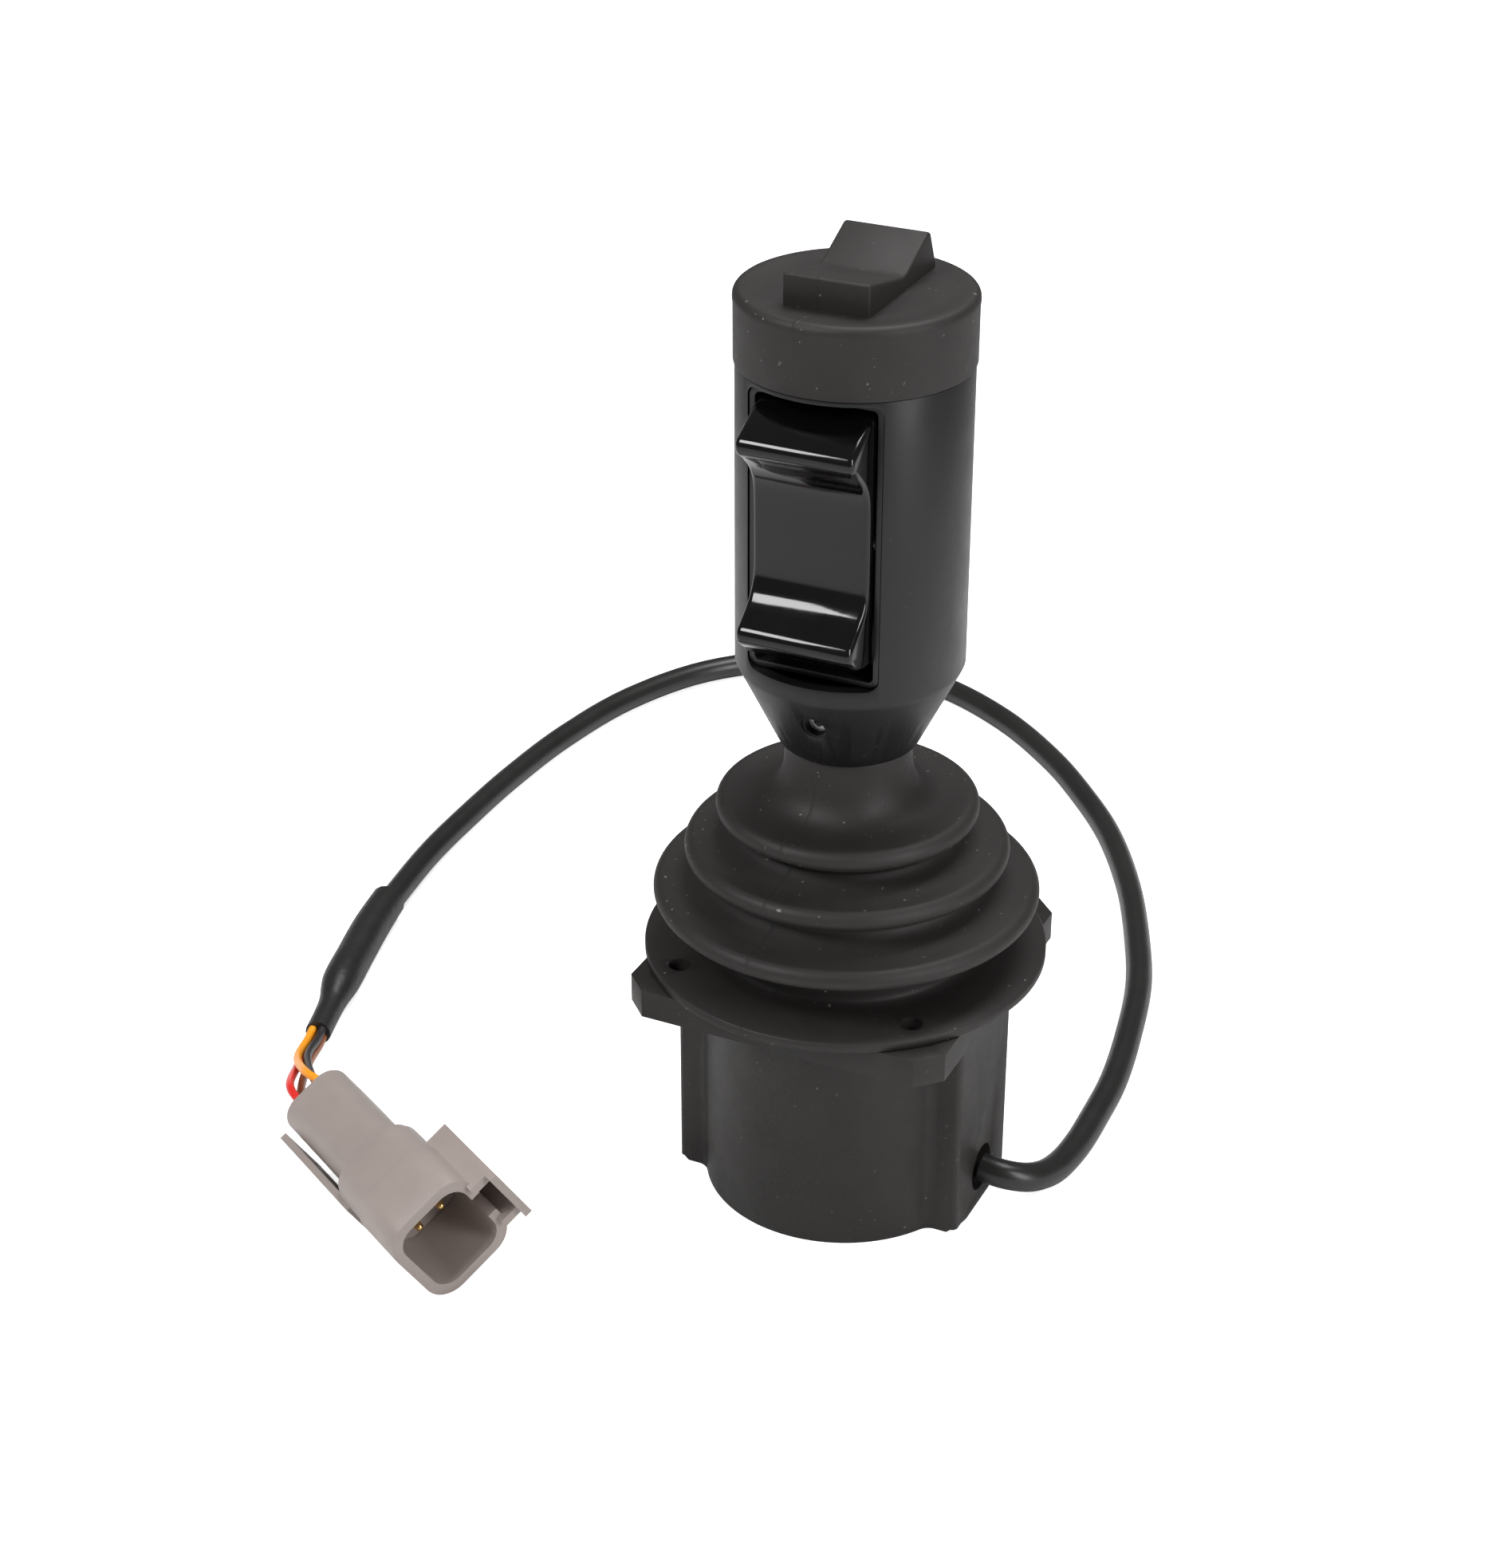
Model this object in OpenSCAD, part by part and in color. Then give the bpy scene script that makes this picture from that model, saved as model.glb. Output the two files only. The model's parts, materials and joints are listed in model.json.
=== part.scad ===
// Two-axis industrial joystick: a round grip with a front rocker and a top
// rocker, a rubber bellows over a spring-centred gimbal, a moulded base with a
// four-hole mounting plate, and a lead that ends in a sealed four-way connector.
// Millimetres, +Z up, origin at the middle of the base's underside, front at -Y.

/* [Base] */
// Radius of the round base can
base_r = 26.7; // [26.2:0.1:28]
// Height of the can under the mounting plate
base_h = 45.1; // [43:0.1:52]
// Wall of the can
base_wall = 2.8; // [2:0.1:3.2]
// Distance from the middle to the flat faces of the two side lobes
lobe_face = 29.5; // [29:0.1:31]
// Half width of a side lobe
lobe_half = 12.65; // [11:0.05:14]
// Half side of the square mounting plate
plate_half = 31.76; // [31:0.01:33]
// Distance from the middle to the cut-off corners of the plate
plate_corner = 41.8; // [41:0.1:43]
// Thickness of the mounting plate
plate_t = 5.7; // [4.5:0.1:7]
// Spacing of the mounting holes, both ways
hole_pitch = 46.9; // [46:0.1:48]
// Diameter of the mounting holes
hole_d = 4.2; // [3.6:0.1:4.8]
// Radius of the opening in the plate
throat_r = 20; // [19:0.1:20.4]
// Thickness of the bottom cover
cover_t = 2; // [1.5:0.1:3]
// Radius of the bottom cover
cover_r = 20.9; // [20.6:0.1:21.2]

/* [Gimbal] */
// Depth of the tilt centre below the top of the plate
pivot_drop = 7.8; // [6.5:0.1:9]
// Diameter of the tilt pins
tilt_pin_d = 4; // [3:0.1:4.4]
// Outer radius of the gimbal ring
ring_r = 16.5; // [15.5:0.1:17]
// Wall of the gimbal ring
ring_wall = 4.2; // [3.6:0.1:4.6]
// Height of the gimbal ring
ring_h = 7; // [6:0.5:9]
// Radius of the lever's hub
hub_r = 8.5; // [7.5:0.1:8.6]
// Height of the lever's hub
hub_h = 10; // [8:0.5:11]
// Diameter of the lever's shaft
shaft_d = 10; // [8:0.1:11]
// Length of the lever's tail below the hub
tail_len = 13.5; // [9:0.5:15]

/* [Bellows] */
// Radius of the bellows flange
flange_r = 38.1; // [37:0.1:39]
// Thickness of the bellows flange
flange_t = 2; // [1.5:0.1:3]
// Radius of the bellows foot, above the flange
foot_r = 24.8; // [24:0.1:26]
// Outer radius of the lowest bead
low_bead_r = 36.34; // [35:0.01:37.5]
// Outer radius of the highest bead
top_bead_r = 24.5; // [23:0.1:26]
// Height of the lowest bead above the plate
first_bead_z = 13.4; // [12:0.1:15]
// Rise from bead to bead
bead_pitch = 8.85; // [8:0.05:9.4]
// Radius of the bead's round edge
bead_round = 2; // [1.5:0.1:2.3]
// Radius of the bellows neck
neck_r = 11.8; // [11.5:0.1:12.4]
// Rubber thickness of the bellows
rubber_t = 1.8; // [1.4:0.1:2]
// Height of the bellows from the plate to the grip
bellows_h = 45; // [44:0.1:48]

/* [Grip] */
// Outer radius of the grip tube
grip_r = 20.92; // [20.5:0.01:21]
// Wall of the grip tube
grip_wall = 2.4; // [1.8:0.1:2.6]
// Radius of the small end of the grip's cone
cone_r = 13.1; // [12.6:0.1:14]
// Height of the cone
cone_h = 15.4; // [15:0.1:18]
// Length of the straight tube that shows under the cap
tube_len = 57.6; // [57:0.1:62]
// Half width of the rocker window
window_half = 12.65; // [12.4:0.05:13]
// Height of the rocker window
window_h = 53.2; // [52.8:0.1:54]
// Step from the cone's shoulder up to the window
window_step = 3.6; // [3.2:0.1:4]
// Corner radius of the window
window_round = 2; // [1.5:0.1:3]
// Height of the set screw above the cone's small end
screw_rise = 9.6; // [8.5:0.1:9.8]
// Diameter of the set screw
screw_d = 4; // [3:0.1:4.2]

/* [Cap] */
// Outer radius of the rubber cap
cap_r = 21.2; // [21.1:0.1:22]
// Height of the cap
cap_h = 13.1; // [13:0.1:15]
// Thickness of the cap's top
cap_t = 2.5; // [2:0.1:2.6]
// Radius of the tube's neck inside the cap
cap_seat_r = 19.2; // [19:0.1:19.4]

/* [Rockers] */
// Half width of the front rocker
rocker_half = 11; // [10.5:0.05:11.2]
// Reach of the finger ledges in front of the grip's axis
ledge_reach = 25.9; // [25:0.1:27]
// Diameter of the front rocker's pin
rocker_pin_d = 3; // [2:0.1:3.4]
// Distance from the grip's axis to the front rocker's pin
rocker_pin_y = 14; // [13.6:0.1:14.2]
// Distance of each plunger from the rocker's pin
plunger_arm = 14; // [12:0.5:16]
// Diameter of a plunger
plunger_d = 3.2; // [2.4:0.1:4]
// Half width of the top rocker
top_half = 8; // [7:0.1:8.1]
// Height of the top rocker's front edge above the cap
top_front_h = 5.4; // [4.5:0.1:6]
// Height of the top rocker's rear edge above the cap
top_rear_h = 6.8; // [6:0.1:8]
// Diameter of the top rocker's pin
top_pin_d = 2; // [1.4:0.1:2.4]

/* [Cable] */
// Diameter of the cable
cable_d = 5.7; // [5:0.1:6]
// Height of the cable's exit above the floor
exit_z = 7.8; // [7:0.1:8.2]
// Diameter of the hole that the cable leaves by
exit_d = 9.4; // [8.6:0.1:10]
// Diameter of each wire
wire_d = 1.7; // [1.4:0.1:1.8]

/* [Connector] */
// Width of the connector's mouth
shroud_w = 21.5; // [21:0.1:23]
// Depth of the connector's mouth, towards the latch
shroud_h = 19.5; // [19:0.1:21]
// Corner radius of the mouth
shroud_round = 5.4; // [4.5:0.1:6]
// Wall of the mouth
shroud_wall = 2; // [1.5:0.1:2.4]
// Length of the connector
plug_len = 49; // [46:0.5:52]
// Length of the wide part of the connector
shroud_len = 22; // [21:0.5:24]
// Spacing of the contact pins
contact_pitch = 5.6; // [5:0.1:6]
// Diameter of a contact pin
contact_d = 1.6; // [1.2:0.1:1.6]

/* [Hidden] */
$fn = 64;
run_gap = 0.05;
press_gap = 0.01;
fit_gap = 0.1;
slot_gap = 0.4;
eps = 0.5;
plate_top = base_h + plate_t;
pivot_z = plate_top - pivot_drop;
cone_z = plate_top + bellows_h;
shoulder_z = cone_z + cone_h;
cap_z = shoulder_z + tube_len;
cap_top = cap_z + cap_h;
cavity_r = base_r - base_wall;
// Base details
cover_lift = 0.4;
base_floor = cover_lift + cover_t + fit_gap;
post_at = 18;
post_r = 3.2;
post_rib = 2;
board_z = 14;
board_t = 1.6;
board_r = cavity_r - 1.4;
screw_core_d = 2.3;
screw_head_d = 5;
screw_head_h = 1.4;
corner_round = 1.2;
boss_in = base_r - 5.9;
boss_half = 4.5;
boss_drop = 6;
boss_end = base_r - 2.1;
// Gimbal details
pin_r = tilt_pin_d / 2;
spring_wire = 0.7;
spring_turns = 3;
spring_pitch = 0.8;
spring_gap = 0.1;
collar_r = neck_r - rubber_t - 0.3;
collar_h = 9;
magnet_r = 3;
magnet_h = 2.5;
tail_r = 4.5;
shaft_in = 12.2;
// Grip details
grip_floor = 1.2;
bore_r = grip_r - grip_wall;
window_z = shoulder_z + window_step;
rocker_z = window_z + window_h / 2 + 0.6;
bezel_gap = 0.2;
bezel_wall = 1.05;
bezel_back = 8;
bezel_back_t = 1.5;
tube_top = cap_z + 5.7;
tube_neck_z = cap_z - 0.05;
screw_azimuth = -88;
// Top rocker details
top_pin_y = 1.5;
top_pin_z = cap_top - 3.9;
top_arc_r = 14.6;
top_front_y = -13;
top_rear_y = 16;
disc_t = 3;
disc_z = cap_z + 1.2;
block_top = disc_z + disc_t + 1.8;
ear_in = top_half + 0.6;
ear_out = ear_in + 1.8;

// Points between p1 and p2 on a smooth curve through four points
function knot(p0, p1, p2, p3, t) =
  0.5 * (2 * p1 + t * (p2 - p0) + t * t * (2 * p0 - 5 * p1 + 4 * p2 - p3)
  + t * t * t * (3 * p1 - 3 * p2 + p3 - p0));
function smooth(p, n) = concat(
  [for (i = [0:len(p) - 2]) for (k = [0:n - 1])
    knot(p[max(i - 1, 0)], p[i], p[i + 1], p[min(i + 2, len(p) - 1)], k / n)],
  [p[len(p) - 1]]);
function unit(v) = v / norm(v);
function heading(p, i) = unit(p[min(i + 1, len(p) - 1)] - p[max(i - 1, 0)]);
// A round tube swept along points; radii holds one radius for each point
module swept(p, radii, sides) {
  rings = [for (i = [0:len(p) - 1])
    let (t = heading(p, i), s = unit(cross(t, [0, 0, 1])), u = cross(s, t))
    for (j = [0:sides - 1])
      let (a = 360 * j / sides)
      p[i] + radii[i] * (cos(a) * s + sin(a) * u)];
  last = (len(p) - 1) * sides;
  walls = [for (i = [0:len(p) - 2]) for (j = [0:sides - 1])
    let (a = i * sides + j, b = i * sides + (j + 1) % sides)
    [a, b, b + sides, a + sides]];
  ends = [[for (j = [sides - 1:-1:0]) j], [for (j = [0:sides - 1]) last + j]];
  polyhedron(points = rings, faces = concat(walls, ends), convexity = 6);
}
// A wire coil about the Z axis
module coil(r, wire, pitch, turns, steps = 14) {
  p = [for (i = [0:turns * steps])
    [r * cos(360 * i / steps), r * sin(360 * i / steps), pitch * i / steps]];
  swept(p, [for (q = p) wire / 2], 6);
}
// A rectangle with round corners
module rounded(w, h, r) {
  square([w - 2 * r, h], center = true);
  square([w, h - 2 * r], center = true);
  for (x = [-1, 1]) for (y = [-1, 1])
    translate([x * (w / 2 - r), y * (h / 2 - r)]) circle(r);
}
module at_posts() {
  for (a = [45:90:315]) rotate(a) translate([post_at, 0, 0]) children();
}
module at_mount_holes() {
  for (x = [-1, 1]) for (y = [-1, 1])
    translate([x * hole_pitch / 2, y * hole_pitch / 2, 0]) children();
}
module along_x(x0, x1, r) {
  translate([x0, 0, 0]) rotate([0, 90, 0]) cylinder(r = r, h = x1 - x0);
}

// Outline of the can with its two side lobes and their hollow flanks
module can_outline() {
  flank = 3;
  circle(base_r);
  for (side = [0, 180]) rotate(side) {
    translate([0, -lobe_half + corner_round]) square([lobe_face, 2 * (lobe_half - corner_round)]);
    translate([0, -lobe_half]) square([lobe_face - corner_round, 2 * lobe_half]);
    for (y = [-1, 1])
      translate([lobe_face - corner_round, y * (lobe_half - corner_round)]) circle(corner_round);
    for (y = [-1, 1]) {
      web_x = sqrt(pow(base_r + flank, 2) - pow(lobe_half + flank, 2));
      difference() {
        polygon([[web_x - flank, y * (lobe_half - eps)], [web_x, y * (lobe_half - eps)],
          [web_x, y * lobe_half], [web_x * base_r / (base_r + flank),
          y * (lobe_half + flank) * base_r / (base_r + flank)]]);
        translate([web_x, y * (lobe_half + flank)]) circle(flank);
      }
    }
  }
}
module plate_outline() {
  intersection() {
    square(2 * plate_half, center = true);
    rotate(45) square(2 * plate_corner, center = true);
  }
}
module base_housing() {
  edge = 0.8;
  color("#1c1a18") difference() {
    union() {
      translate([0, 0, edge]) linear_extrude(base_h - edge + eps) can_outline();
      intersection() {
        linear_extrude(edge + 0.01) can_outline();
        cylinder(r1 = lobe_face + 1.6 - edge, r2 = lobe_face + 1.6, h = edge + 0.01);
      }
      translate([0, 0, base_h]) linear_extrude(plate_t) plate_outline();
    }
    difference() {
      translate([0, 0, base_floor]) cylinder(r = cavity_r, h = base_h - base_floor);
      at_posts() {
        translate([0, 0, base_floor - eps]) cylinder(r = post_r, h = board_z - base_floor + eps);
        translate([0, -post_rib / 2, base_floor - eps])
          cube([cavity_r, post_rib, board_z - base_floor + eps]);
      }
      for (side = [0, 180]) rotate(side)
        translate([boss_in, -boss_half, pivot_z - boss_drop])
          cube([base_r, 2 * boss_half, base_h]);
    }
    translate([0, 0, base_h - eps]) cylinder(r = throat_r, h = plate_t + 2 * eps);
    translate([0, 0, -eps]) cylinder(r = cover_r + fit_gap, h = base_floor + eps + 0.01);
    at_posts() translate([0, 0, -eps]) cylinder(d = screw_core_d + fit_gap, h = board_z + 2 * eps);
    at_mount_holes() translate([0, 0, base_h - base_h / 4]) cylinder(d = hole_d, h = base_h);
    translate([0, 0, exit_z]) along_x(cavity_r - eps, lobe_face + eps, exit_d / 2);
    for (side = [0, 180]) rotate(side)
      translate([0, 0, pivot_z]) along_x(boss_in - eps, boss_end, pin_r + run_gap);
  }
}
module bottom_cover() {
  color("#181818") difference() {
    translate([0, 0, cover_lift]) cylinder(r = cover_r, h = cover_t);
    at_posts() {
      translate([0, 0, -eps]) cylinder(d = screw_core_d + fit_gap, h = cover_t + 2 * eps);
      translate([0, 0, -eps])
        cylinder(d = screw_head_d + 2 * fit_gap, h = eps + cover_lift + 0.2 + screw_head_h);
    }
  }
}
// A pan-head screw with a cross recess, head down at z = 0
module pan_screw(length) {
  recess = 2.6;
  difference() {
    union() {
      cylinder(d = screw_head_d, h = screw_head_h);
      cylinder(d = screw_core_d, h = screw_head_h + length);
    }
    for (a = [0, 90]) rotate(a)
      translate([-recess / 2, -0.3, -eps]) cube([recess, 0.6, eps + 0.8]);
  }
}
module cover_screws() {
  color("silver") at_posts() translate([0, 0, cover_lift + 0.2]) pan_screw(5.5);
}
module sensor_board() {
  color("darkgreen") difference() {
    translate([0, 0, board_z]) cylinder(r = board_r, h = board_t);
    at_posts() translate([0, 0, board_z - eps])
      cylinder(d = screw_core_d + 2 * fit_gap, h = board_t + 2 * eps);
  }
}
module board_parts() {
  top = board_z + board_t;
  color("#202020") {
    for (a = [0:90:270]) rotate(a) translate([5, -1.5, top]) cube([2, 3, 1.2]);
    translate([-2, -2, top]) cube([4, 4, 1]);
    translate([-17, -4, top]) cube([5, 8, 3]);
    for (y = [-6, 6]) translate([14, y / 2 - 1, top]) cube([3, 2, 1]);
  }
}
module board_screws() {
  color("silver") at_posts()
    translate([0, 0, board_z + board_t + screw_head_h]) rotate([180, 0, 0]) pan_screw(5);
}
module cable_tie() {
  tie_w = 2.5;
  tie_t = 1.1;
  tie_x = cavity_r - 4;
  color("#101010") translate([0, 0, exit_z]) difference() {
    union() {
      along_x(tie_x, tie_x + tie_w, cable_d / 2 + tie_t);
      translate([tie_x, -2, cable_d / 2]) cube([tie_w, 4, 2.4]);
    }
    along_x(tie_x - 1, tie_x + tie_w + 1, cable_d / 2 + 0.02);
  }
}
module cable_grommet() {
  color("#141414") translate([0, 0, exit_z]) difference() {
    union() {
      along_x(cavity_r + 0.1, lobe_face - 2.6, exit_d / 2 - 0.03);
      along_x(cavity_r - 1, cavity_r - 0.05, exit_d / 2 - 0.03);
    }
    along_x(cavity_r - 3, lobe_face + 1, cable_d / 2 + 0.02);
  }
}

// Bellows wall: a smooth zigzag line given a thickness, with round beads
function bead_r(i) = low_bead_r + (top_bead_r - low_bead_r) * i / 2;
function bead_z(i) = plate_top + first_bead_z + bead_pitch * i;
bead_in = bead_round + 0.3;
wall_line = [[foot_r - rubber_t / 2, plate_top + flange_t / 2],
  [foot_r - rubber_t / 2, bead_z(0) - 5],
  [foot_r + 2.4, bead_z(0) - 2.7], [bead_r(0) - bead_in, bead_z(0)],
  [bead_r(0) - 8.4, bead_z(0) + 3.1], [bead_r(0) - 10, bead_z(0) + bead_pitch / 2 + 0.5],
  [bead_r(0) - 8.8, bead_z(1) - 2.6], [bead_r(1) - bead_in, bead_z(1)],
  [bead_r(1) - 8.4, bead_z(1) + 3.1], [bead_r(1) - 10, bead_z(1) + bead_pitch / 2 + 0.5],
  [bead_r(1) - 8.8, bead_z(2) - 2.6], [bead_r(2) - bead_in, bead_z(2)],
  [bead_r(2) - 7, bead_z(2) + 1], [neck_r + 0.8, bead_z(2) + 3.6],
  [neck_r - rubber_t / 2, bead_z(2) + 7.6], [neck_r - rubber_t / 2, cone_z - 0.5]];
function beside(p, i, d) = let (t = heading(p, i)) p[i] + d * [t[1], -t[0]];
module bellows() {
  line = smooth(wall_line, 3);
  half = rubber_t / 2;
  color("#26221f") difference() {
    union() {
      rotate_extrude() polygon(concat([for (i = [0:len(line) - 1]) beside(line, i, half)],
        [for (i = [len(line) - 1:-1:0]) beside(line, i, -half)]));
      for (i = [0:2]) rotate_extrude()
        translate([bead_r(i) - bead_round, bead_z(i)]) circle(bead_round);
      translate([0, 0, plate_top]) difference() {
        cylinder(r = flange_r, h = flange_t);
        translate([0, 0, -eps]) cylinder(r = foot_r - rubber_t, h = flange_t + 2 * eps);
      }
    }
    translate([0, 0, plate_top]) at_mount_holes()
      translate([0, 0, -eps]) cylinder(d = hole_d, h = flange_t + 2 * eps);
    translate([0, 0, plate_top - bead_pitch]) cylinder(r = flange_r, h = bead_pitch);
  }
}

// Cable and wires: routes chosen by hand, on the floor behind the joystick
floor_z = cable_d / 2;
cable_route = [[14, 0, exit_z], [22, 0, exit_z], [29.5, 0, exit_z], [34.5, 0.6, 7],
  [38.6, 4.2, 5.4], [40.8, 11, 3.7], [41.6, 21, floor_z], [41.4, 33, floor_z],
  [40.6, 46, floor_z], [38, 62, floor_z], [33.5, 82, floor_z], [27, 100, floor_z],
  [17.7, 121, floor_z], [5.5, 142, floor_z], [-8, 159, floor_z], [-21, 172.5, floor_z],
  [-38, 186, floor_z], [-58, 196, floor_z], [-79, 199, floor_z], [-99, 194, floor_z],
  [-117, 178.5, floor_z], [-128, 156, floor_z], [-133, 131, floor_z], [-134.6, 108, floor_z],
  [-134.6, 88, floor_z], [-133.6, 66, floor_z], [-130, 42, floor_z + 0.4]];
sleeve_route = [[-130, 42, 4.1], [-127.6, 31, 4.1], [-124.5, 19.5, 4.1], [-121.4, 8.5, 4.1],
  [-118.8, 0.5, 3.6], [-115.6, -9.8, 3.6]];
sleeve_radii = [3.7, 4, 4.1, 4, 3, 2.7];
sleeve_end = [-115.6, -9.8, 3.6];
module cable() {
  p = smooth(cable_route, 2);
  color("#151515") swept(p, [for (q = p) cable_d / 2], 10);
}
module shrink_sleeve() {
  p = smooth(sleeve_route, 2);
  color("#121212") swept(p, smooth(sleeve_radii, 2), 12);
}

// Connector, drawn with its mating face at x = 0 and its latch towards +Z
plug_at = [-48.6, -69];
plug_yaw = -31;
plug_roll = -57;
plug_lie = abs(sin(plug_roll)) * (shroud_w / 2 - shroud_round)
  + cos(plug_roll) * (shroud_h / 2 - shroud_round) + shroud_round;
rear_w = 17.5;
rear_h = 14.6;
rear_round = 4.5;
mouth_depth = 18;
seam_x = -13;
seal_depth = 4;
pin_tip = -11;
module placed_plug() {
  translate([plug_at[0], plug_at[1], plug_lie]) rotate([0, 0, plug_yaw])
    rotate([plug_roll, 0, 0]) children();
}
function plug_point(p) = let (y = p[1] * cos(plug_roll) - p[2] * sin(plug_roll),
  z = p[1] * sin(plug_roll) + p[2] * cos(plug_roll))
  [plug_at[0] + p[0] * cos(plug_yaw) - y * sin(plug_yaw),
  plug_at[1] + p[0] * sin(plug_yaw) + y * cos(plug_yaw), plug_lie + z];
module bar_x(x0, x1, w, h, r) {
  translate([x0, 0, 0]) rotate([90, 0, 90]) linear_extrude(x1 - x0) rounded(w, h, r);
}
module at_contacts() {
  for (y = [-1, 1]) for (z = [-1, 1])
    translate([0, y * contact_pitch / 2, z * contact_pitch / 2]) children();
}
module connector_body() {
  lip = 0.4;
  latch_half = 6.6;
  latch_rise = 4.4;
  top = shroud_h / 2;
  clip_half = 6;
  color("#9a8f89") placed_plug() difference() {
    union() {
      bar_x(seam_x, 0, shroud_w, shroud_h, shroud_round);
      bar_x(-shroud_len, seam_x + eps, shroud_w - 2 * lip, shroud_h - 2 * lip, shroud_round - lip);
      bar_x(-shroud_len - 1.6, -shroud_len + eps, shroud_w - 2, shroud_h - 2, shroud_round - 1);
      bar_x(-plug_len, -shroud_len, rear_w, rear_h, rear_round);
      for (y = [-1, 1]) translate([-16, y * (latch_half - 0.9) - 0.9, top - 1])
        cube([17.6, 1.8, latch_rise]);
      translate([-16, -latch_half, top + latch_rise - 1.6]) cube([19.5, 2 * latch_half, 1.6]);
      translate([-16, -latch_half, top - 1]) cube([2, 2 * latch_half, latch_rise]);
      translate([-plug_len + 2, -clip_half, -top - 0.4])
        cube([plug_len - shroud_len + 1, 2 * clip_half, 1.4]);
    }
    bar_x(-mouth_depth, eps, shroud_w - 2 * shroud_wall, shroud_h - 2 * shroud_wall,
      shroud_round - shroud_wall + 0.6);
    translate([-9, -3, top - shroud_wall - 1]) cube([10, 6, shroud_wall + 2]);
    bar_x(-plug_len - eps, -plug_len + seal_depth, rear_w - 3, rear_h - 3, rear_round - 1.2);
    at_contacts() along_x(-plug_len, -mouth_depth + eps, contact_d / 2 + fit_gap);
  }
}
module connector_wedge() {
  color("#8d837e") placed_plug() difference() {
    bar_x(-mouth_depth + 0.05, -mouth_depth + 2, shroud_w - 2 * shroud_wall - 0.4,
      shroud_h - 2 * shroud_wall - 0.4, shroud_round - shroud_wall + 0.4);
    at_contacts() along_x(-plug_len, 0, contact_d / 2 + fit_gap);
  }
}
module contact_pins() {
  color("gold") placed_plug() at_contacts() {
    along_x(-plug_len + seal_depth + 2, pin_tip, contact_d / 2);
    translate([pin_tip, 0, 0]) sphere(d = contact_d);
  }
}
module rear_seal() {
  color("#b5651d") placed_plug() difference() {
    bar_x(-plug_len + 0.6, -plug_len + seal_depth - 0.05, rear_w - 3.2, rear_h - 3.2,
      rear_round - 1.3);
    at_contacts() along_x(-plug_len - 1, -plug_len + seal_depth + 1, wire_d / 2 + 0.05);
  }
}
// One wire, from the sleeve's end to its hole in the rear seal
module wire(y, z, shift, tint) {
  back = -plug_len;
  hole = plug_point([back + 1, y * contact_pitch / 2, z * contact_pitch / 2]);
  lead = plug_point([back - 5, y * contact_pitch / 2, z * contact_pitch / 2]);
  rest = plug_point([back - 12, y * 2, z * 2]);
  along = unit(sleeve_end - sleeve_route[4]);
  start = sleeve_end + shift + 0.05 * along;
  p = smooth([start, start + 4 * along, start + 12 * along + [1.5, -2, 2.4], rest, lead, hole], 3);
  color(tint) swept(p, [for (q = p) wire_d / 2], 8);
}
module orange_wire() {
  wire(-1, 1, [-0.95, -0.35, 0.95], "darkorange");
}
module red_wire() {
  wire(-1, -1, [-0.95, -0.35, -0.95], "red");
}
module black_wire() {
  wire(1, 1, [0.95, 0.35, 0.95], "#202020");
}
module brown_wire() {
  wire(1, -1, [0.95, 0.35, -0.95], "saddlebrown");
}

// Gimbal: the ring tilts about X in the base, the hub about Y in the ring
module gimbal_ring() {
  color("#b8bcc0") translate([0, 0, pivot_z]) difference() {
    translate([0, 0, -ring_h / 2]) cylinder(r = ring_r, h = ring_h);
    translate([0, 0, -ring_h]) cylinder(r = ring_r - ring_wall, h = 2 * ring_h);
    along_x(-ring_r - 1, ring_r + 1, pin_r + press_gap);
    rotate(90) along_x(-ring_r - 1, ring_r + 1, pin_r + run_gap);
  }
}
module ring_pins() {
  color("silver") translate([0, 0, pivot_z]) for (side = [0, 180]) rotate(side)
    along_x(ring_r - ring_wall + 0.6, boss_end - 0.3, pin_r);
}
module pin_springs(x0) {
  color("#8c8c90") translate([0, 0, pivot_z]) for (side = [0, 180]) rotate(side)
    translate([x0 + spring_wire / 2 + spring_gap, 0, 0]) rotate([0, 90, 0])
      coil(pin_r + 1.1, spring_wire, spring_pitch, spring_turns);
}
module ring_springs() {
  pin_springs(ring_r);
}
module lever_shaft() {
  hub_top = pivot_z + hub_h / 2;
  hub_bottom = pivot_z - hub_h / 2;
  color("#a9adb0") difference() {
    rotate_extrude() polygon([[0, hub_bottom - tail_len], [tail_r, hub_bottom - tail_len],
      [tail_r, hub_bottom], [hub_r - 1, hub_bottom], [hub_r, hub_bottom + 1],
      [hub_r, hub_top - 1], [hub_r - 1, hub_top], [shaft_d / 2, hub_top],
      [shaft_d / 2, cone_z - 0.4 - collar_h], [collar_r - 1, cone_z - 0.4 - collar_h],
      [collar_r, cone_z - collar_h + 0.6], [collar_r, cone_z - 0.05],
      [shaft_d / 2, cone_z - 0.05], [shaft_d / 2, cone_z + shaft_in], [0, cone_z + shaft_in]]);
    translate([0, 0, pivot_z]) rotate(90) along_x(-hub_r - 1, hub_r + 1, pin_r + press_gap);
    translate([0, 0, hub_bottom - tail_len - eps]) cylinder(r = magnet_r + press_gap, h = 1 + eps);
  }
}
module hub_pins() {
  color("silver") translate([0, 0, pivot_z]) rotate(90)
    along_x(-ring_r + 0.3, ring_r - 0.3, pin_r);
}
module hub_springs() {
  rotate(90) pin_springs(hub_r);
}
module magnet() {
  low = pivot_z - hub_h / 2 - tail_len;
  color("#707478") translate([0, 0, low + 1 - magnet_h]) cylinder(r = magnet_r, h = magnet_h - 0.02);
}

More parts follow.
